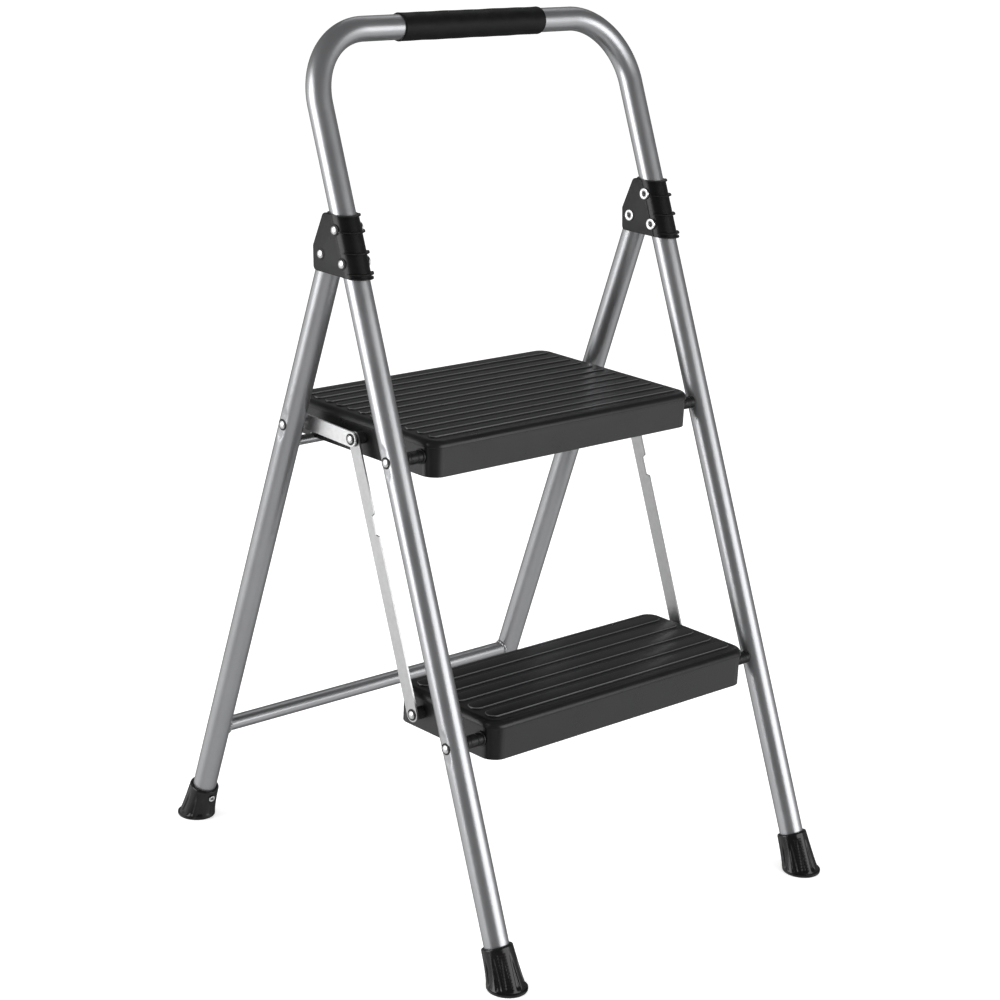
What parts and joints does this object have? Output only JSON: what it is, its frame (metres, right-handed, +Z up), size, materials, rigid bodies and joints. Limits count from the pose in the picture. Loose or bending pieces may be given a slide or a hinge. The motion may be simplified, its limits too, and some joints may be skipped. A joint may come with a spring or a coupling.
{
  "type": "folding step stool",
  "caption": "Folding two-step step stool with a tubular frame, padded handle, ribbed steps and flared boots; rear legs and steps fold together through flat links and stays.",
  "frame": {"origin": "on the floor, under the middle of the bounding box, stool standing open", "axes": "+X to the right seen from the front, the steps face -Y, +Z up"},
  "size_m": [0.4722, 0.5434, 0.8799],
  "materials": {
    "frame_steel": "silver-grey satin powder coat",
    "tray_steel": "black satin powder coat",
    "tread_plastic": "black, satin, fine grain",
    "grip_foam": "black closed-cell foam",
    "bracket_plastic": "black moulded plastic",
    "spacer_plastic": "black moulded plastic",
    "boot_rubber": "black moulded rubber",
    "rivet_steel": "bright zinc plate",
    "strip_zinc": "satin zinc plate"
  },
  "bodies": {
    "front_frame": {"front_frame": "frame_steel", "hand_grip": "grip_foam", "hinge_bracket_left": "bracket_plastic", "hinge_bracket_right": "bracket_plastic", "bracket_rivets": "rivet_steel", "hinge_pins": "rivet_steel", "top_step_rivets": "rivet_steel", "lower_step_rivets": "rivet_steel", "top_step_sleeves": "spacer_plastic", "lower_step_sleeves": "spacer_plastic", "step_pivot_washers": "rivet_steel", "front_boot_left": "boot_rubber", "front_boot_right": "boot_rubber", "boot_rivets_front": "rivet_steel"},
    "rear_frame": {"rear_leg_left": "frame_steel", "rear_leg_right": "frame_steel", "rear_crossbar": "frame_steel", "step_rest_bar": "frame_steel", "crossbar_welds": "frame_steel", "rear_boot_left": "boot_rubber", "rear_boot_right": "boot_rubber", "boot_rivets_rear": "rivet_steel", "stay_rivets": "rivet_steel"},
    "top_step": {"top_step_tray": "tray_steel", "top_step_tread": "tread_plastic", "upper_link_pins": "rivet_steel", "upper_link_spacers": "spacer_plastic"},
    "lower_step": {"lower_step_tray": "tray_steel", "lower_step_tread": "tread_plastic", "lower_link_pins": "rivet_steel", "lower_link_spacers": "spacer_plastic"},
    "left_link": {"link_left": "strip_zinc"},
    "right_link": {"link_right": "strip_zinc"},
    "left_stay": {"stay_left": "strip_zinc", "stay_stub_left": "rivet_steel"},
    "right_stay": {"stay_right": "strip_zinc", "stay_stub_right": "rivet_steel"}
  },
  "joints": [
    {"name": "rear_frame_fold", "type": "hinge", "parent": "front_frame", "child": "rear_frame", "pos_m": [0, 0.0466, 0.66131], "axis": [-1, 0, 0], "range_deg": [0, 37.3]},
    {"name": "top_step_fold", "type": "hinge", "parent": "front_frame", "child": "top_step", "pos_m": [0, -0.05755, 0.47728], "axis": [1, 0, 0], "range_deg": [0, 62.05]},
    {"name": "lower_step_fold", "type": "hinge", "parent": "front_frame", "child": "lower_step", "pos_m": [0, -0.16132, 0.21915], "axis": [1, 0, 0], "range_deg": [0, 62.05]},
    {"name": "left_link_pivot", "type": "hinge", "parent": "top_step", "child": "left_link", "pos_m": [-0.192, 0.03013, 0.47578], "axis": [-1, 0, 0], "range_deg": [0, 62.05]},
    {"name": "right_link_pivot", "type": "hinge", "parent": "top_step", "child": "right_link", "pos_m": [0.192, 0.03013, 0.47578], "axis": [-1, 0, 0], "range_deg": [0, 62.05]},
    {"name": "left_stay_pivot", "type": "hinge", "parent": "top_step", "child": "left_stay", "pos_m": [-0.1955, 0.03013, 0.47578], "axis": [-1, 0, 0], "range_deg": [0, 157.5]},
    {"name": "right_stay_pivot", "type": "hinge", "parent": "top_step", "child": "right_stay", "pos_m": [0.1955, 0.03013, 0.47578], "axis": [-1, 0, 0], "range_deg": [0, 157.5]}
  ],
  "couplings": [
    {"joint": "top_step_fold", "follows": "rear_frame_fold", "ratio": 1.6621},
    {"joint": "lower_step_fold", "follows": "rear_frame_fold", "ratio": 1.6621},
    {"joint": "left_link_pivot", "follows": "rear_frame_fold", "ratio": 1.6621},
    {"joint": "right_link_pivot", "follows": "rear_frame_fold", "ratio": 1.6621},
    {"joint": "left_stay_pivot", "follows": "rear_frame_fold", "ratio": 4.2211},
    {"joint": "right_stay_pivot", "follows": "rear_frame_fold", "ratio": 4.2211}
  ]
}
